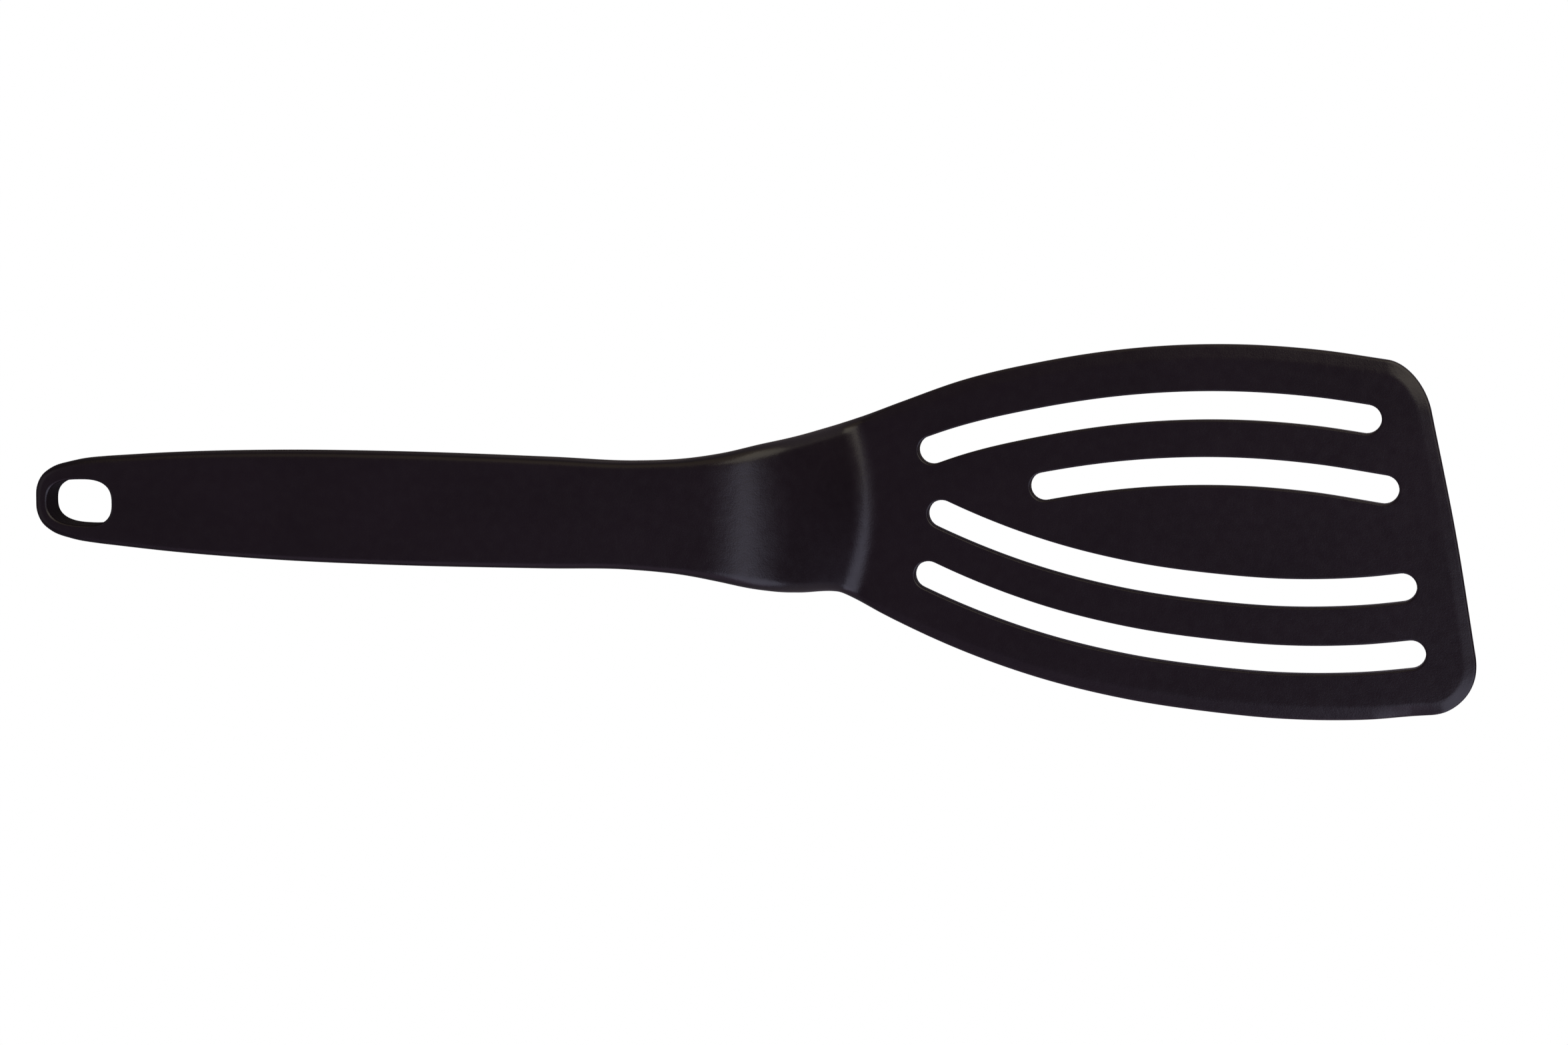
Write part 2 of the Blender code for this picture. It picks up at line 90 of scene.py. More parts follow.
# Plan. Both edges are given by their distance from the middle line, the handle's cap from HANDLE_END_X,
# the front edge from FRONT_X, and each slot by its side of the blade, how far it lies in from that edge,
# how much further at its ends, and where it starts and stops
HANDLE_END_X = -182.0
FRONT_X = 131.9
HANDLE_CAP = [(0.17, 2.76), (1.35, 5.4), (3.7, 7.33), (8.2, 8.83)]
HANDLE_EDGE = [(-167, 9.8), (-150, 11.15), (-126, 12.25), (-100, 12.6), (-66, 12.3), (-47, 12.0),
               (-36, 12.8), (-28, 14.2), (-20, 16.2), (-12, 17.85)]
EDGES_START_X = -166
CAP_ENDS_X = (-167, -158, -150)
UPPER_EDGE = [(-5.5, 19.7), (-1, 21.3), (8, 24.95), (22, 30.4), (40, 35.2), (60, 38.8), (84, 40.4),
              (100, 39.8), (117, 37.9)]
LOWER_EDGE = [(-5.5, 18.6), (-1, 20.55), (8, 24.7), (22, 30.35), (40, 35.9), (60, 39.85), (80, 41.85),
              (97, 42.5), (112, 41.85), (129, 39.75)]
FRONT_EDGE = [(-26.4, 5.2), (-0.4, 0.0), (28.6, -6.9)]
UPPER_CORNER = (115.5, 27.1)
LOWER_CORNER = (128.0, -26.4)
CORNER_FULLNESS = 0.56
CORNER_STEPS = 60
FRONT_STEPS = 60
EDGE_STEPS = 600
CAP_STEPS = 160

SLOT_WIDTH = 6.4
SLOT_MIDDLE_X = 70.0
SLOT_HALF_SPAN = 50.0
SLOT_STEPS = 160
SLOT_END_STEPS = 40
SLOTS = [("upper", 13.5, 0.1, 15.9, 111.6),
         ("upper", 28.1, 0.3, 41.4, 116.0),
         ("lower", 28.05, 1.0, 18.4, 120.7),
         ("lower", 13.3, 0.6, 15.7, 123.25)]
HOLE_CENTRE = (-171.6, -0.4)
HOLE_HALF = (7.35, 5.2)
HOLE_SQUARENESS = 2.7
HOLE_TAPER = 0.05
HOLE_STEPS = 240

# Outer edge of the top face. At each X: how far the bevel runs in, how deep it is, and its edge's radius
OUTER_EDGE = [(-190, 0.4, 0.0, 1.75), (-172, 0.4, 0.0, 1.7), (-158, 0.4, 0.0, 1.6), (-40, 0.4, 0.0, 1.7),
              (-18, 0.4, 0.0, 3.4), (-5, 0.8, 0.1, 2.8), (4, 2.0, 0.5, 0.8), (16, 2.6, 0.65, 0.5),
              (60, 3.0, 0.64, 0.45), (102, 3.1, 0.56, 0.45), (116, 3.0, 0.5, 0.45), (121, 2.8, 1.0, 0.45),
              (124, 2.8, 1.15, 0.45), (131, 2.7, 0.38, 0.45), (134.5, 2.6, 0.95, 0.45), (140, 2.6, 1.1, 0.45)]
BEVEL_SOFTNESS = 0.12
FRONT_BEVEL_EASE = 0.74
FRONT_EASE_POWER = 6

# Radii of the other edges. The outer edge of the underside has its radius at each X
UNDERSIDE_EDGE = [(-160, 1.4), (-150, 1.6), (-20, 1.6), (0, 0.9)]
SLOT_EDGE_RADIUS = 0.4
HOLE_EDGE_RADIUS = 0.6
HOLE_UNDERSIDE_RADIUS = 0.54

# Mesh. For each kind of edge: spacing along it and number of rings. Slots and hole have no bevel, and
# their bands stand in for its width. A row's spacing is given at each X
OUTER_MESH = (0.62, 12)
SLOT_MESH = (0.6, 6)
HOLE_MESH = (0.45, 9)
SLOT_BAND = 0.1
HOLE_BAND = 0.4
RING_CROWDING = 1.6
RING_CLEARANCE = 0.55
ROW_SPACING = [(-190, 1.8), (-36, 1.6), (-32, 0.9), (-12, 0.9), (-9, 0.5), (8, 0.5), (12, 1.5), (140, 1.8)]
COLUMN_SPACING = 1.45
GRID_HALF_WIDTH = 43.5
WELD_DISTANCE = 1e-7
SHARP_ANGLE = math.radians(60)

# Dimples left in the underside by the pins that held the core in the mould. Their wall, floor and rings
# are in shares of their radius
PIN_RADIUS = 1.5
PIN_DEPTH = 1.0
HANDLE_PINS_AT = (26.0, 112.0)
BLADE_PINS_AT = (6.0, 84.0)
PIN_WALL_FROM = 1.03
PIN_WALL_WIDTH = 0.14
PIN_FLOOR = 0.94
PIN_RINGS = (0.45, 0.85, 0.93, 1.0, 1.07, 1.25)
PIN_STEPS = 28
PIN_CLEARANCE = 0.7

# The blade's underside mount lies this far in front of the heel
MOUNT_X = 60


# ---------------------------------------------------------------- curves

def fair_curve(stations):
    """Cubic through the stations. Its slope at each is the mean of the chords' slopes on both sides,
    weighted towards the shorter chord."""
    x, y = np.array(stations, float).T
    step = np.diff(x)
    rise = np.diff(y) / step
    slope = np.concatenate(([rise[0]], (rise[:-1] * step[1:] + rise[1:] * step[:-1])
                            / (step[:-1] + step[1:]), [rise[-1]]))

    def height(q):
        q = np.asarray(q, float)
        i = np.clip(np.searchsorted(x, q) - 1, 0, len(step) - 1)
        t = (q - x[i]) / step[i]
        s = 1 - t
        return ((1 + 2 * t) * s * s * y[i] + t * s * s * step[i] * slope[i]
                + t * t * (3 - 2 * t) * y[i + 1] - t * t * s * step[i] * slope[i + 1])
    return height


EDGES = {"upper": fair_curve(HANDLE_EDGE + UPPER_EDGE), "lower": fair_curve(HANDLE_EDGE + LOWER_EDGE)}
FRONT = fair_curve(FRONT_EDGE)


def even_loop(points, spacing, hole=False):
    """Closed line through the points, cut into equal lengths. It runs anticlockwise, or clockwise for
    a hole, so the skin is always on its left."""
    area = np.sum(points[:, 0] * np.roll(points[:, 1], -1) - points[:, 1] * np.roll(points[:, 0], -1))
    if (area < 0) != hole:
        points = points[::-1]
    closed = np.vstack([points, points[:1]])
    length = np.concatenate([[0], np.cumsum(np.hypot(*np.diff(closed, axis=0).T))])
    count = int(round(length[-1] / spacing))
    at = np.arange(count) * length[-1] / count
    return np.column_stack([np.interp(at, length, closed[:, 0]), np.interp(at, length, closed[:, 1])])


def corner_blend(start, start_heading, end, end_heading):
    """Round corner: a cubic from start to end whose inner points lie on the two edges' tangents."""
    cross = start_heading[0] * end_heading[1] - start_heading[1] * end_heading[0]
    reach = ((end[0] - start[0]) * end_heading[1] - (end[1] - start[1]) * end_heading[0]) / cross
    corner = start + reach * start_heading
    a = start + CORNER_FULLNESS * (corner - start)
    b = end + CORNER_FULLNESS * (corner - end)
    t = np.linspace(0, 1, CORNER_STEPS)[:, None]
    return (1 - t) ** 3 * start + 3 * t * (1 - t) ** 2 * a + 3 * t * t * (1 - t) * b + t ** 3 * end


def edge_heading(across, at, run):
    """Unit direction of a curve y = across(x) at x, for x growing by run."""
    small = 0.01 * run
    step = np.array([small, float(across(at + small) - across(at))])
    return step / np.hypot(*step)


def skin_outline():
    """Plan of the whole tool: along both edges, round the front by two blended corners, and round the
    handle's end on a smooth curve through its stations."""
    def front_x(y):
        return FRONT_X + FRONT(y)

    def upper(x):
        return EDGES["upper"](x)

    def lower(x):
        return -EDGES["lower"](x)

    top = corner_blend(np.array([UPPER_CORNER[0], upper(UPPER_CORNER[0])]),
                       edge_heading(upper, UPPER_CORNER[0], 1),
                       np.array([front_x(UPPER_CORNER[1]), UPPER_CORNER[1]]),
                       edge_heading(front_x, UPPER_CORNER[1], -1)[::-1])
    low = corner_blend(np.array([front_x(LOWER_CORNER[1]), LOWER_CORNER[1]]),
                       edge_heading(front_x, LOWER_CORNER[1], -1)[::-1],
                       np.array([LOWER_CORNER[0], lower(LOWER_CORNER[0])]),
                       edge_heading(lower, LOWER_CORNER[0], -1))
    ys = np.linspace(UPPER_CORNER[1], LOWER_CORNER[1], FRONT_STEPS)[1:-1]
    front = np.column_stack([front_x(ys), ys])
    cap_ends = [(x - HANDLE_END_X, EDGES["upper"](x)) for x in CAP_ENDS_X]
    half = np.vstack([[(0.0, 0.0)], HANDLE_CAP, cap_ends])
    cap_line = np.vstack([half[::-1], half[1:] * (1, -1)])
    along = np.concatenate([[0], np.cumsum(np.hypot(*np.diff(cap_line, axis=0).T))])
    at = np.linspace(along[2], along[-3], CAP_STEPS)
    end = np.column_stack([HANDLE_END_X + fair_curve(np.column_stack([along, cap_line[:, 0]]))(at),
                           fair_curve(np.column_stack([along, cap_line[:, 1]]))(at)])
    upper_xs = np.linspace(EDGES_START_X, UPPER_CORNER[0], EDGE_STEPS)[:-1]
    lower_xs = np.linspace(LOWER_CORNER[0], EDGES_START_X, EDGE_STEPS)[1:]
    return np.vstack([np.column_stack([upper_xs, upper(upper_xs)]), top, front, low,
                      np.column_stack([lower_xs, lower(lower_xs)]), end[::-1][1:-1]])


def slot_outline(slot):
    """Slot of constant width with full round ends. Its centre line follows an edge of the blade."""
    side, inset, growth, start, stop = slot
    sign = 1 if side == "upper" else -1
    xs = np.linspace(start, stop, SLOT_STEPS)
    ys = sign * (EDGES[side](xs) - inset - growth * ((xs - SLOT_MIDDLE_X) / SLOT_HALF_SPAN) ** 2)
    along = np.column_stack([np.gradient(xs), np.gradient(ys)])
    along /= np.hypot(along[:, 0], along[:, 1])[:, None]
    left = np.column_stack([-along[:, 1], along[:, 0]])
    centre = np.column_stack([xs, ys])
    half = SLOT_WIDTH / 2
    turn = np.linspace(0, math.pi, SLOT_END_STEPS)[1:-1, None]
    far = centre[-1] + half * (np.cos(turn) * left[-1] + np.sin(turn) * along[-1])
    near = centre[0] + half * (-np.cos(turn) * left[0] - np.sin(turn) * along[0])
    return np.vstack([centre + half * left, far, (centre - half * left)[::-1], near])


def hole_outline():
    """Rounded square, a little wider towards the blade: sine and cosine raised to the power that gives
    its squareness."""
    t = np.linspace(0, 2 * math.pi, HOLE_STEPS, endpoint=False)
    power = 2 / HOLE_SQUARENESS
    u = np.sign(np.cos(t)) * np.abs(np.cos(t)) ** power
    v = np.sign(np.sin(t)) * np.abs(np.sin(t)) ** power
    return np.column_stack([HOLE_CENTRE[0] + HOLE_HALF[0] * u,
                            HOLE_CENTRE[1] + HOLE_HALF[1] * v * (1 + HOLE_TAPER * u)])


# ---------------------------------------------------------------- side view

KNEE = np.array([-KNEE_HEIGHT / math.tan(NECK_SLOPE), BLADE_THICKNESS + KNEE_HEIGHT])
HANDLE_BACK = np.array([-math.cos(HANDLE_SLOPE), math.sin(HANDLE_SLOPE)])
HANDLE_UP = np.array([math.sin(HANDLE_SLOPE), math.cos(HANDLE_SLOPE)])
NECK_UP = np.array([math.sin(NECK_SLOPE), math.cos(NECK_SLOPE)])
NECK_DOWN = np.array([math.cos(NECK_SLOPE), -math.sin(NECK_SLOPE)])


def meet(point_a, heading_a, point_b, heading_b):
    """Where two lines cross."""
    cross = heading_a[0] * heading_b[1] - heading_a[1] * heading_b[0]
    gap = point_b - point_a
    return point_a + heading_a * (gap[0] * heading_b[1] - gap[1] * heading_b[0]) / cross


def arc_at(corner, before, after, radius, steps):
    """Arc of the given radius that rounds the corner between two other points of a line."""
    a = (before - corner) / np.hypot(*(before - corner))
    b = (after - corner) / np.hypot(*(after - corner))
    half = math.acos(float(np.clip(a @ b, -1, 1))) / 2
    centre = corner + (a + b) / np.hypot(*(a + b)) * radius / math.sin(half)
    first = corner + a * radius / math.tan(half) - centre
    last = corner + b * radius / math.tan(half) - centre
    start = math.atan2(first[1], first[0])
    sweep = (math.atan2(last[1], last[0]) - start + math.pi) % (2 * math.pi) - math.pi
    angle = start + sweep * np.linspace(0, 1, steps + 1)
    return centre + radius * np.column_stack([np.cos(angle), np.sin(angle)])


def side_line(handle_depth, neck_depth, blade_height, knee_radius, heel_radius, end_depth=None):
    """Line of the side view at a depth below the handle's and the neck's top, and at a height on the
    blade, with both bends rounded."""
    on_handle = KNEE - HANDLE_UP * handle_depth
    on_neck = KNEE - NECK_UP * neck_depth
    knee = meet(on_handle, HANDLE_BACK, on_neck, NECK_DOWN)
    heel = meet(on_neck, NECK_DOWN, np.array([0.0, blade_height]), np.array([1.0, 0.0]))
    length = (knee[0] - HANDLE_END_X) / math.cos(HANDLE_SLOPE)
    back = [knee + HANDLE_BACK * (length + OVERRUN)]
    if end_depth is not None:
        thins = knee + HANDLE_BACK * (knee[0] - HANDLE_THINS_FROM) / math.cos(HANDLE_SLOPE)
        end = knee + HANDLE_BACK * length + HANDLE_UP * (handle_depth - end_depth)
        back = [end + (end - thins) * OVERRUN / np.hypot(*(end - thins)), thins]
    front = np.array([FRONT_X + 2 * OVERRUN, blade_height])
    return np.vstack([back, arc_at(knee, back[-1], heel, knee_radius, KNEE_STEPS),
                      arc_at(heel, knee, front, heel_radius, HEEL_STEPS), [front]])


TOP_LINE = side_line(0, 0, BLADE_THICKNESS, KNEE_RADIUS, HEEL_RADIUS)
BOTTOM_LINE = side_line(HANDLE_THICKNESS, NECK_THICKNESS, 0, KNEE_RADIUS - HANDLE_THICKNESS,
                        HEEL_RADIUS + NECK_THICKNESS, HANDLE_END_THICKNESS)


def surface_height(line, plan):
    """Height of a face of the skin above the plan points, and how steep it is there. The side view's
    line is carried across the tool, and set back more on both sides of the middle the lower it gets. As
    the height and the setback depend on each other, they are found in rounds."""
    x, y = plan.T
    back = HEEL_BOW * np.minimum(y * y, HEEL_BOW_LIMIT) - HEEL_LEAD
    slope_x = (line[1:, 0] + line[:-1, 0]) / 2
    slope = np.diff(line[:, 1]) / np.diff(line[:, 0])
    z = np.interp(x, line[:, 0], line[:, 1])
    for _ in range(BOW_ROUNDS):
        lowness = np.clip(1 - (z - BLADE_THICKNESS) / KNEE_HEIGHT, 0, 1)
        from_x = x + back * lowness
        z = 0.5 * z + 0.5 * np.interp(from_x, line[:, 0], line[:, 1])
    return z, np.sqrt(1 + np.interp(from_x, slope_x, slope) ** 2)


# ---------------------------------------------------------------- skin

def round_over(distance, radius):
    """Drop of a quarter-round edge at a distance in from it: radius less the circle's height."""
    inside = np.clip(radius - distance, 0, radius)
    return radius - np.sqrt(radius * radius - inside * inside)


def inside_loop(points, loop):
    """True for points inside a closed line: a ray to the right crosses it an odd number of times."""
    x, y = points[:, :1], points[:, 1:]
    ax, ay = loop.T
    bx, by = np.roll(loop, -1, axis=0).T
    spans = (ay > y) != (by > y)
    cross = ax + (y - ay) * (bx - ax) / np.where(by == ay, 1e-9, by - ay)
    return (np.sum(spans & (x < cross), axis=1) % 2) == 1


def edge_rings(loop, bevel_width, bevel_depth, radius, under_radius, rings):
    """Rings that run inwards from a closed edge, closest together at it. Returns their plan points, the
    top face's drop and the underside's rise: a sloping bevel, then a quarter-round at the very edge. The
    bevel is shallower the more the edge faces the front."""
    tangent = np.roll(loop, -1, axis=0) - np.roll(loop, 1, axis=0)
    tangent /= np.hypot(tangent[:, 0], tangent[:, 1])[:, None]
    inward = np.column_stack([-tangent[:, 1], tangent[:, 0]])
    reach = np.maximum(np.maximum(bevel_width + 4 * BEVEL_SOFTNESS, radius), under_radius)
    share = (np.arange(rings) / (rings - 1.0)) ** RING_CROWDING
    distance = share[:, None] * reach
    plan = loop[None] + distance[:, :, None] * inward[None]
    eased = bevel_depth * (1 - FRONT_BEVEL_EASE * np.maximum(-inward[:, 0], 0) ** FRONT_EASE_POWER)
    left = eased * (1 - distance / bevel_width)
    soft = BEVEL_SOFTNESS * np.minimum(eased, 1)
    last_quarter = np.clip(4 - 4 * share[:, None], 0, 1)
    drop = (left + np.sqrt(left * left + soft * soft)) / 2 * last_quarter
    return plan, drop + round_over(distance, radius), round_over(distance, under_radius)


def plan_grid():
    """Grid over the plan: rows across the tool, closest together on the bends."""
    at = [ROW_SPACING[0][0]]
    while at[-1] < ROW_SPACING[-1][0]:
        at.append(at[-1] + float(np.interp(at[-1], *np.array(ROW_SPACING).T)))
    x, y = np.meshgrid(at, np.arange(-GRID_HALF_WIDTH, GRID_HALF_WIDTH + COLUMN_SPACING / 2, COLUMN_SPACING))
    return np.column_stack([x.ravel(), y.ravel()])


def pin_centres():
    """Centres of the underside's dimples: on the blade by X, on the handle by distance from the knee."""
    return np.array([(x, 0.0) for x in BLADE_PINS_AT]
                    + [(KNEE[0] + HANDLE_BACK[0] * d, 0.0) for d in HANDLE_PINS_AT])


def tool_to_room(points):
    """Tips the tool back on its heel and moves it to where it lies: each axis times its coordinate."""
    mount = next(m for m in frame["record"]["mounts"] if m["name"] == "blade_underside")
    axis = np.array(mount["axis"], float)
    along = np.array([-axis[2], 0.0, axis[0]])
    across = np.array([0.0, 1.0, 0.0])
    heel = np.array(mount["pos_m"], float) - along * MOUNT_X * MM
    return heel + points @ np.vstack([along, across, -axis]) * MM


def skin_edges():
    """Rings of every closed edge: the outline's, the slots' and the hanging hole's."""
    spacing, rings = OUTER_MESH
    outer = even_loop(skin_outline(), spacing)
    at, *columns = np.array(OUTER_EDGE).T
    widths, depths, radii = (np.interp(outer[:, 0], at, column) for column in columns)
    under = np.interp(outer[:, 0], *np.array(UNDERSIDE_EDGE).T)
    edges = [edge_rings(outer, widths, depths, radii, under, rings)]
    spacing, rings = SLOT_MESH
    for slot in SLOTS:
        loop = even_loop(slot_outline(slot), spacing, hole=True)
        edges.append(edge_rings(loop, SLOT_BAND, 0, SLOT_EDGE_RADIUS, SLOT_EDGE_RADIUS, rings))
    spacing, rings = HOLE_MESH
    loop = even_loop(hole_outline(), spacing, hole=True)
    edges.append(edge_rings(loop, HOLE_BAND, 0, HOLE_EDGE_RADIUS, HOLE_UNDERSIDE_RADIUS, rings))
    return edges


def points_between(edges):
    """Points of the plan inside all the rings: the grid, with rings of its own at each dimple."""
    grid = plan_grid()
    for number, (plan, _, _) in enumerate(edges):
        last = plan[-1]
        grid = grid[inside_loop(grid, last) == (number == 0)]
        near = np.min(np.hypot(grid[:, :1] - last[:, 0], grid[:, 1:] - last[:, 1]), axis=1)
        grid = grid[near > RING_CLEARANCE]
    turn = np.linspace(0, 2 * math.pi, PIN_STEPS, endpoint=False)
    circle = PIN_RADIUS * np.column_stack([np.cos(turn), np.sin(turn)])
    for centre in pin_centres():
        grid = grid[np.hypot(*(grid - centre).T) > PIN_RADIUS + PIN_CLEARANCE]
        grid = np.vstack([grid, [centre], *(centre + circle * share for share in PIN_RINGS)])
    return grid


def plan_faces(edges, between_points):
    """The whole plan: its points, the drop of the top and the rise of the underside at each, the quads
    between rings, the triangles inside them, and the sides of the outermost rings, for the walls."""
    points, drops, rises, quads, sides, inmost, links = [], [], [], [], [], [], []
    base = 0
    link_base = 0
    for plan, drop, rise in edges:
        rings, count = plan.shape[:2]
        index = base + np.arange(rings * count).reshape(rings, count)
        after = np.roll(index, -1, axis=1)
        quads.append(np.stack([index[:-1], after[:-1], after[1:], index[1:]], axis=-1).reshape(-1, 4))
        sides.append(np.stack([index[0], after[0]], axis=-1))
        points.append(plan.reshape(-1, 2))
        drops.append(np.broadcast_to(drop, (rings, count)).ravel())
        rises.append(np.broadcast_to(rise, (rings, count)).ravel())
        inmost.append(index[-1])
        around = link_base + np.arange(count)
        links.append(np.column_stack([around, np.roll(around, -1)]))
        base += rings * count
        link_base += count
    plan = np.vstack(points + [between_points])
    level = np.zeros(len(between_points))
    ids = np.concatenate(inmost + [base + np.arange(len(between_points))])
    spread = plan[ids]
    result = delaunay_2d_cdt([Vector(p) for p in spread.tolist()], np.vstack(links).tolist(), [], 0,
                             WELD_DISTANCE, False)
    triangles = np.array(result[2])
    middle = spread[triangles].mean(axis=1)
    keep = inside_loop(middle, edges[0][0][-1])
    for hole_plan, _, _ in edges[1:]:
        keep &= ~inside_loop(middle, hole_plan[-1])
    return (plan, np.concatenate(drops + [level]), np.concatenate(rises + [level]), np.vstack(quads),
            ids[triangles[keep]], np.vstack(sides))


def make_skin():
    """Two faces on one plan, joined by walls round every edge, with the pins' dimples underneath. The
    core shows at the bottom of the dimples: steel on the blade, nylon on the handle."""
    edges = skin_edges()
    plan, drop, rise, quads, triangles, sides = plan_faces(edges, points_between(edges))
    top, top_steep = surface_height(TOP_LINE, plan)
    bottom, bottom_steep = surface_height(BOTTOM_LINE, plan)
    pins = pin_centres()
    from_pin = np.min(np.hypot(plan[:, :1] - pins[:, 0], plan[:, 1:] - pins[:, 1]), axis=1) / PIN_RADIUS
    dimple = PIN_DEPTH * np.clip((PIN_WALL_FROM - from_pin) / PIN_WALL_WIDTH, 0, 1)
    upper = np.column_stack([plan, top - drop * top_steep])
    lower = np.column_stack([plan, bottom + rise * bottom_steep + dimple])
    shift = len(plan)
    walls = np.column_stack([sides + shift, sides[:, ::-1]])
    faces = (quads.tolist() + triangles.tolist() + (quads[:, ::-1] + shift).tolist()
             + (triangles[:, ::-1] + shift).tolist() + walls.tolist())
    mesh = bpy.data.meshes.new("silicone_skin")
    mesh.from_pydata(tool_to_room(np.vstack([upper, lower])).tolist(), [], faces)
    mesh.shade_smooth()
    mesh.set_sharp_from_angle(angle=SHARP_ANGLE)
    skin = bpy.data.objects.new("silicone_skin", mesh)
    bpy.context.scene.collection.objects.link(skin)
    for finish in (black_silicone(), spring_steel("pin_hole_steel"), natural_nylon("pin_hole_nylon")):
        mesh.materials.append(finish)
    pin_floor = from_pin[triangles].max(axis=1) < PIN_FLOOR
    on_blade = plan[triangles[:, 0], 0] > 0
    first = len(quads) * 2 + len(triangles)
    indices = np.zeros(len(faces), int)
    indices[first:first + len(triangles)] = np.where(pin_floor, np.where(on_blade, 1, 2), 0)
    mesh.polygons.foreach_set("material_index", indices)
    mesh.update()
    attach(skin, "root")
    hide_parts("overmould_skin")


# ---------------------------------------------------------------- finishes

# Each finish runs between a dark and a light shade, and between two values of roughness. Heights of its
# bumps are in metres
SILICONE_SHADES = ((0.0078, 0.0050, 0.0073), (0.0104, 0.0068, 0.0099))
SILICONE_ROUGHNESS = (0.28, 0.34)
SILICONE_IOR = 1.5
SILICONE_WAVES = 0.00004
SILICONE_GRAIN = 0.000025
STEEL_SHADES = ((0.46, 0.46, 0.47), (0.6, 0.6, 0.61))
STEEL_ROUGHNESS = (0.24, 0.38)
STEEL_LINES = 0.00001
NYLON_SHADES = ((0.58, 0.56, 0.5), (0.68, 0.66, 0.6))
NYLON_ROUGHNESS = (0.45, 0.56)
NYLON_IOR = 1.53
NYLON_GRAIN = 0.00003
RIVET_SHADES = ((0.52, 0.52, 0.53), (0.64, 0.64, 0.65))
RIVET_ROUGHNESS = (0.28, 0.4)
RIVET_RINGS = 0.00001


def material(name, **sockets):
    """New node material with its shader's plain values set, its nodes, its links and its shader."""
    made = bpy.data.materials.new(name)
    made.use_nodes = True
    nodes, links = made.node_tree.nodes, made.node_tree.links
    shader = nodes["Principled BSDF"]
    for socket, value in sockets.items():
        shader.inputs[socket.replace("_", " ")].default_value = value
    return made, nodes, links, shader


def grain(nodes, links, scale, detail, stretch=(1, 1, 1)):
    """Noise on Object coordinates, stretched along the axes."""
    place = nodes.new("ShaderNodeTexCoord")
    stretched = nodes.new("ShaderNodeMapping")
    stretched.inputs["Scale"].default_value = stretch
    noise = nodes.new("ShaderNodeTexNoise")
    noise.inputs["Scale"].default_value = scale
    noise.inputs["Detail"].default_value = detail
    links.new(place.outputs["Object"], stretched.inputs["Vector"])
    links.new(stretched.outputs["Vector"], noise.inputs["Vector"])
    return noise.outputs["Fac"]


def between(nodes, links, factor, low, high, from_low=0.3, from_high=0.7):
    """The factor's range carried onto another."""
    ranged = nodes.new("ShaderNodeMapRange")
    for socket, value in (("From Min", from_low), ("From Max", from_high), ("To Min", low), ("To Max", high)):
        ranged.inputs[socket].default_value = value
    links.new(factor, ranged.inputs["Value"])
    return ranged.outputs["Result"]


def shades(nodes, links, factor, dark, light, at=(0.35, 0.65)):
    """Colour from dark to light along the factor."""
    ramp = nodes.new("ShaderNodeValToRGB")
    for stop, colour, place in zip(ramp.color_ramp.elements, (dark, light), at):
        stop.position = place
        stop.color = (*colour, 1)
    links.new(factor, ramp.inputs["Fac"])
    return ramp.outputs["Color"]


def bump(nodes, links, height, distance, onto=None):
    """Bump of a height in metres, on top of another if one is given."""
    raised = nodes.new("ShaderNodeBump")
    raised.inputs["Distance"].default_value = distance
    raised.inputs["Strength"].default_value = 1.0
    links.new(height, raised.inputs["Height"])
    if onto is not None:
        links.new(onto, raised.inputs["Normal"])
    return raised.outputs["Normal"]


def black_silicone():
    """Matt black silicone from a spark-eroded mould: fine even grain, faint clouding in its colour and
    its gloss."""
    made, nodes, links, shader = material("black_silicone", IOR=SILICONE_IOR)
    clouds = grain(nodes, links, 55, 4, (0.6, 1, 1))
    fine = grain(nodes, links, 2600, 3)
    soft = grain(nodes, links, 420, 2)
    links.new(shades(nodes, links, clouds, *SILICONE_SHADES), shader.inputs["Base Color"])
    links.new(between(nodes, links, soft, *SILICONE_ROUGHNESS), shader.inputs["Roughness"])
    waves = bump(nodes, links, soft, SILICONE_WAVES)
    links.new(bump(nodes, links, fine, SILICONE_GRAIN, onto=waves), shader.inputs["Normal"])
    return made


def spring_steel(name):
    """Rolled stainless strip: fine lines along the tool and a slight change of tone between them."""
    made, nodes, links, shader = material(name, Metallic=1.0)
    lines = grain(nodes, links, 900, 3, (0.03, 1, 1))
    links.new(shades(nodes, links, lines, *STEEL_SHADES), shader.inputs["Base Color"])
    links.new(between(nodes, links, lines, *STEEL_ROUGHNESS), shader.inputs["Roughness"])
    links.new(bump(nodes, links, lines, STEEL_LINES), shader.inputs["Normal"])
    return made


def natural_nylon(name):
    """Uncoloured nylon: milky, a little mottled, with the mould's fine grain."""
    made, nodes, links, shader = material(name, IOR=NYLON_IOR)
    mottle = grain(nodes, links, 90, 4)
    fine = grain(nodes, links, 1800, 2)
    links.new(shades(nodes, links, mottle, *NYLON_SHADES), shader.inputs["Base Color"])
    links.new(between(nodes, links, mottle, *NYLON_ROUGHNESS), shader.inputs["Roughness"])
    links.new(bump(nodes, links, fine, NYLON_GRAIN), shader.inputs["Normal"])
    return made


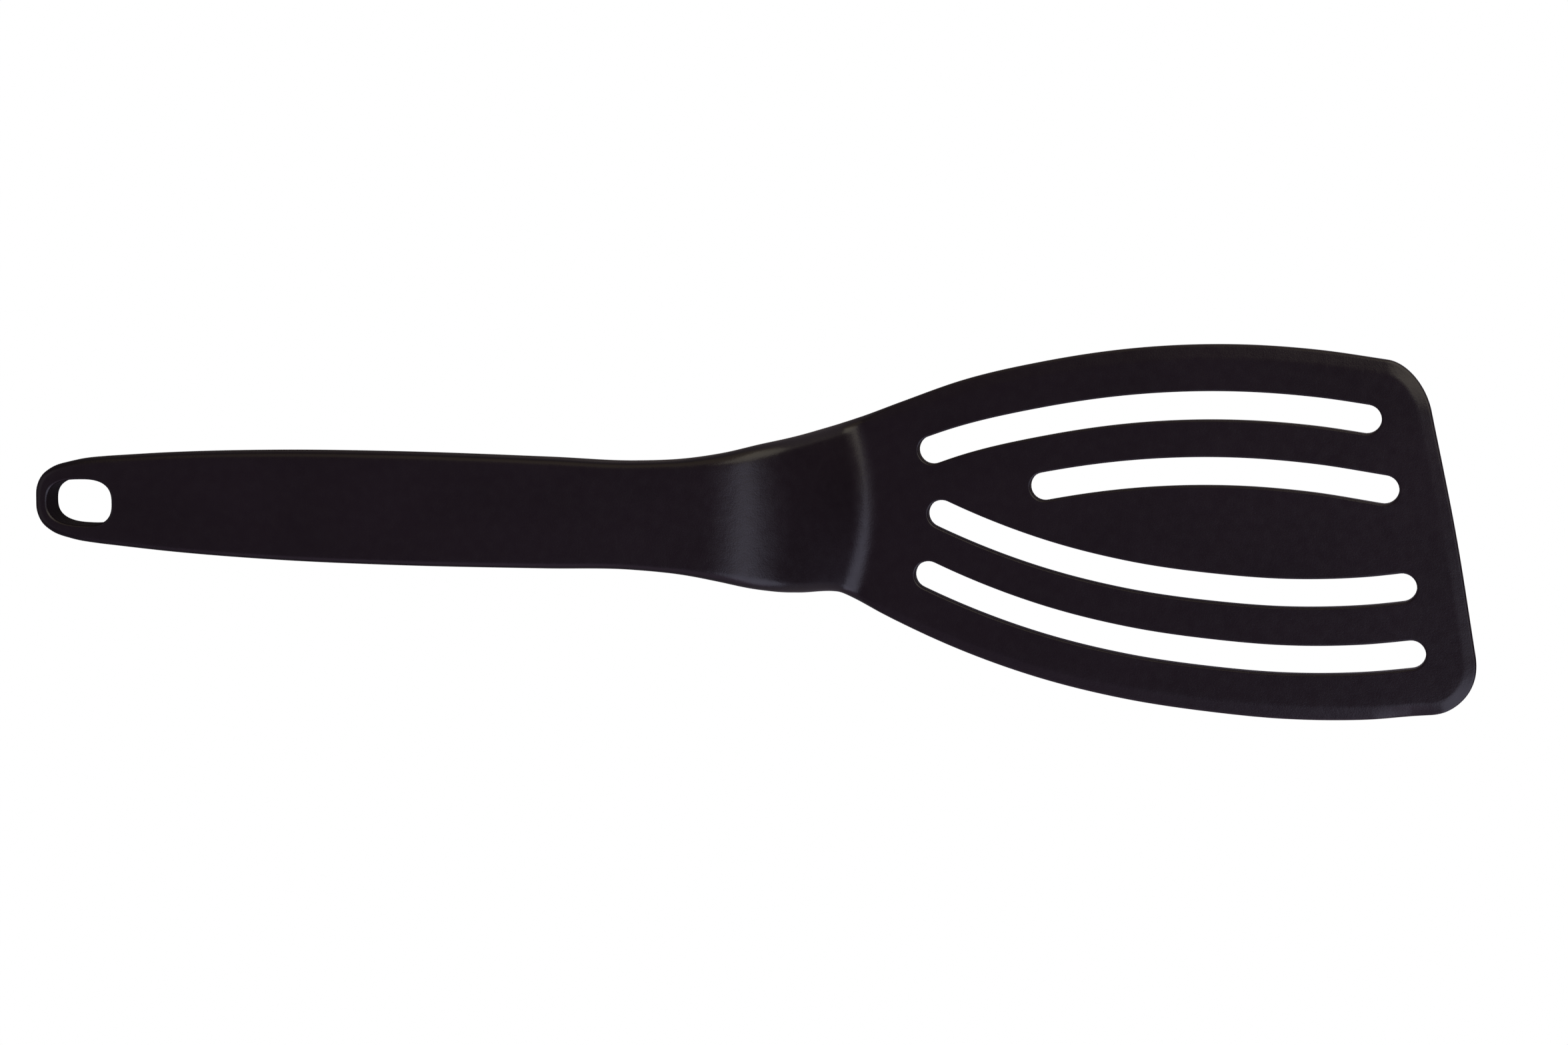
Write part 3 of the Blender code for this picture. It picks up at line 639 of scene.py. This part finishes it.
def turned_steel(name, centre):
    """Rivet steel with the fine rings of turning about its own middle."""
    made, nodes, links, shader = material(name, Metallic=1.0)
    place = nodes.new("ShaderNodeTexCoord")
    centred = nodes.new("ShaderNodeMapping")
    centred.inputs["Location"].default_value = [-c for c in centre]
    rings = nodes.new("ShaderNodeTexWave")
    rings.wave_type = 'RINGS'
    rings.rings_direction = 'Z'
    rings.inputs["Scale"].default_value = 700
    rings.inputs["Distortion"].default_value = 0.6
    links.new(place.outputs["Object"], centred.inputs["Vector"])
    links.new(centred.outputs["Vector"], rings.inputs["Vector"])
    ringed = rings.outputs["Fac"]
    links.new(shades(nodes, links, ringed, *RIVET_SHADES), shader.inputs["Base Color"])
    links.new(between(nodes, links, ringed, *RIVET_ROUGHNESS, 0, 1), shader.inputs["Roughness"])
    links.new(bump(nodes, links, ringed, RIVET_RINGS), shader.inputs["Normal"])
    return made


def finish_core():
    """Materials of the parts inside the skin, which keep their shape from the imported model."""
    inner = {"steel_core": spring_steel("spring_steel"),
             "handle_insert_upper": natural_nylon("natural_nylon"),
             "handle_insert_lower": natural_nylon("natural_nylon_lower")}
    for node in ("tang_rivet_front", "tang_rivet_rear"):
        low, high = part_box(node)
        inner[node] = turned_steel(node + "_steel", [(a + b) / 2 for a, b in zip(low, high)])
    for node, made in inner.items():
        mesh = frame["nodes"][node].data
        mesh.materials.clear()
        mesh.materials.append(made)


# ---------------------------------------------------------------- studio

VIEW_TARGET = (0.00840, -0.00217, 0.00044)
VIEW_DISTANCE = 0.700
VIEW_TILT = math.radians(7.5)
VIEW_ROLL = math.radians(0.95)
LENS = 70.62
SENSOR_WIDTH = 36

# The room's glow from the sides to overhead, and the floor's painted shade from the handle to the blade, at
# its X
ROOM_GLOW = ((0.06, 0.042, 0.058), (0.13, 0.09, 0.13))
ROOM_GLOW_ENDS = (0.3, 1.0)
FLOOR_SIZE = 6.0
FLOOR_PAINTED_SHADES = ((0.18, 0.17, 0.18), (0.5, 0.48, 0.5))
FLOOR_PAINTED_SHADE_ENDS = (-0.08, 0.06)

# Name, azimuth from +X, lean from upright, distance, width, height, brightness, colour
SOFTBOXES = [("warm_softbox", 52, 48, 1.2, 0.95, 1.5, 1.3, (1.0, 0.93, 0.76)),
             ("cool_softbox", -51, 48, 1.2, 0.95, 1.5, 1.45, (0.77, 0.78, 1.0)),
             ("warm_wall", 92, 66, 1.2, 1.3, 1.2, 0.34, (1.0, 0.83, 0.55)),
             ("cool_wall", -92, 66, 1.2, 1.3, 1.2, 0.34, (0.95, 0.72, 1.0)),
             ("back_wall", 180, 64, 1.2, 1.3, 1.0, 0.25, (1.0, 0.9, 1.0))]


def make_camera():
    """Looks almost straight down, from a little beyond the tool's far side."""
    data = bpy.data.cameras.new("camera")
    data.lens = LENS
    data.sensor_width = SENSOR_WIDTH
    data.clip_end = 20
    camera = bpy.data.objects.new("camera", data)
    bpy.context.scene.collection.objects.link(camera)
    back = np.array([0, math.sin(VIEW_TILT), math.cos(VIEW_TILT)])
    level = np.array([1.0, 0.0, 0.0])
    up = np.cross(back, level)
    right = level * math.cos(VIEW_ROLL) + up * math.sin(VIEW_ROLL)
    up = np.cross(back, right)
    place = np.array(VIEW_TARGET) + back * VIEW_DISTANCE
    turned = np.eye(4)
    turned[:3, 0], turned[:3, 1], turned[:3, 2], turned[:3, 3] = right, up, back, place
    camera.matrix_world = Matrix(turned.tolist())
    bpy.context.scene.camera = camera


def softbox(name, azimuth, lean, distance, width, height, brightness, colour):
    """Upright softbox that faces the tool. Its azimuth and lean are in degrees."""
    data = bpy.data.lights.new(name, 'AREA')
    data.shape = 'RECTANGLE'
    data.size = width
    data.size_y = height
    data.energy = brightness * math.pi * width * height
    data.color = colour
    lamp = bpy.data.objects.new(name, data)
    a, e = math.radians(azimuth), math.radians(lean)
    out = Vector((math.cos(a) * math.sin(e), math.sin(a) * math.sin(e), math.cos(e)))
    lamp.location = Vector(VIEW_TARGET) + out * distance
    lamp.rotation_mode = 'QUATERNION'
    lamp.rotation_quaternion = out.to_track_quat('Z', 'Y')
    bpy.context.scene.collection.objects.link(lamp)


def make_floor():
    """Pale sweep under the tool: white to the camera, dimmer as a light, most of all at the handle, where
    painted shade darkens its colour.
    """
    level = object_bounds()[0][2]
    mesh = bpy.data.meshes.new("floor")
    corners = [(x * FLOOR_SIZE, y * FLOOR_SIZE, level) for x, y in ((-1, -1), (1, -1), (1, 1), (-1, 1))]
    mesh.from_pydata(corners, [], [(0, 1, 2, 3)])
    floor = bpy.data.objects.new("floor", mesh)
    bpy.context.scene.collection.objects.link(floor)
    made, nodes, links, shader = material("pale_sweep", Roughness=0.9, Specular_IOR_Level=0.0)
    place = nodes.new("ShaderNodeTexCoord")
    apart = nodes.new("ShaderNodeSeparateXYZ")
    links.new(place.outputs["Object"], apart.inputs["Vector"])
    # Painted shade on the floor: its colour darkens from the blade towards the handle
    along = between(nodes, links, apart.outputs["X"], 0, 1, *FLOOR_PAINTED_SHADE_ENDS)
    links.new(shades(nodes, links, along, *FLOOR_PAINTED_SHADES, (0, 1)), shader.inputs["Base Color"])
    white = nodes.new("ShaderNodeEmission")
    seen = nodes.new("ShaderNodeLightPath")
    mixed = nodes.new("ShaderNodeMixShader")
    links.new(seen.outputs["Is Camera Ray"], mixed.inputs["Fac"])
    links.new(shader.outputs["BSDF"], mixed.inputs[1])
    links.new(white.outputs["Emission"], mixed.inputs[2])
    links.new(mixed.outputs["Shader"], nodes["Material Output"].inputs["Surface"])
    mesh.materials.append(made)


def make_world():
    """Dim room, lighter overhead than at the sides, which the camera sees as white."""
    world = bpy.data.worlds.new("studio")
    world.use_nodes = True
    nodes, links = world.node_tree.nodes, world.node_tree.links
    nodes.clear()
    room = nodes.new("ShaderNodeBackground")
    heading = nodes.new("ShaderNodeTexCoord")
    apart = nodes.new("ShaderNodeSeparateXYZ")
    links.new(heading.outputs["Generated"], apart.inputs["Vector"])
    links.new(shades(nodes, links, apart.outputs["Z"], *ROOM_GLOW, ROOM_GLOW_ENDS), room.inputs["Color"])
    white = nodes.new("ShaderNodeBackground")
    white.inputs["Color"].default_value = (1, 1, 1, 1)
    seen = nodes.new("ShaderNodeLightPath")
    mixed = nodes.new("ShaderNodeMixShader")
    out = nodes.new("ShaderNodeOutputWorld")
    links.new(seen.outputs["Is Camera Ray"], mixed.inputs["Fac"])
    links.new(room.outputs["Background"], mixed.inputs[1])
    links.new(white.outputs["Background"], mixed.inputs[2])
    links.new(mixed.outputs["Shader"], out.inputs["Surface"])
    bpy.context.scene.world = world


make_skin()
finish_core()
make_floor()
make_world()
make_camera()
for row in SOFTBOXES:
    softbox(*row)
bpy.context.scene.view_settings.view_transform = 'Standard'
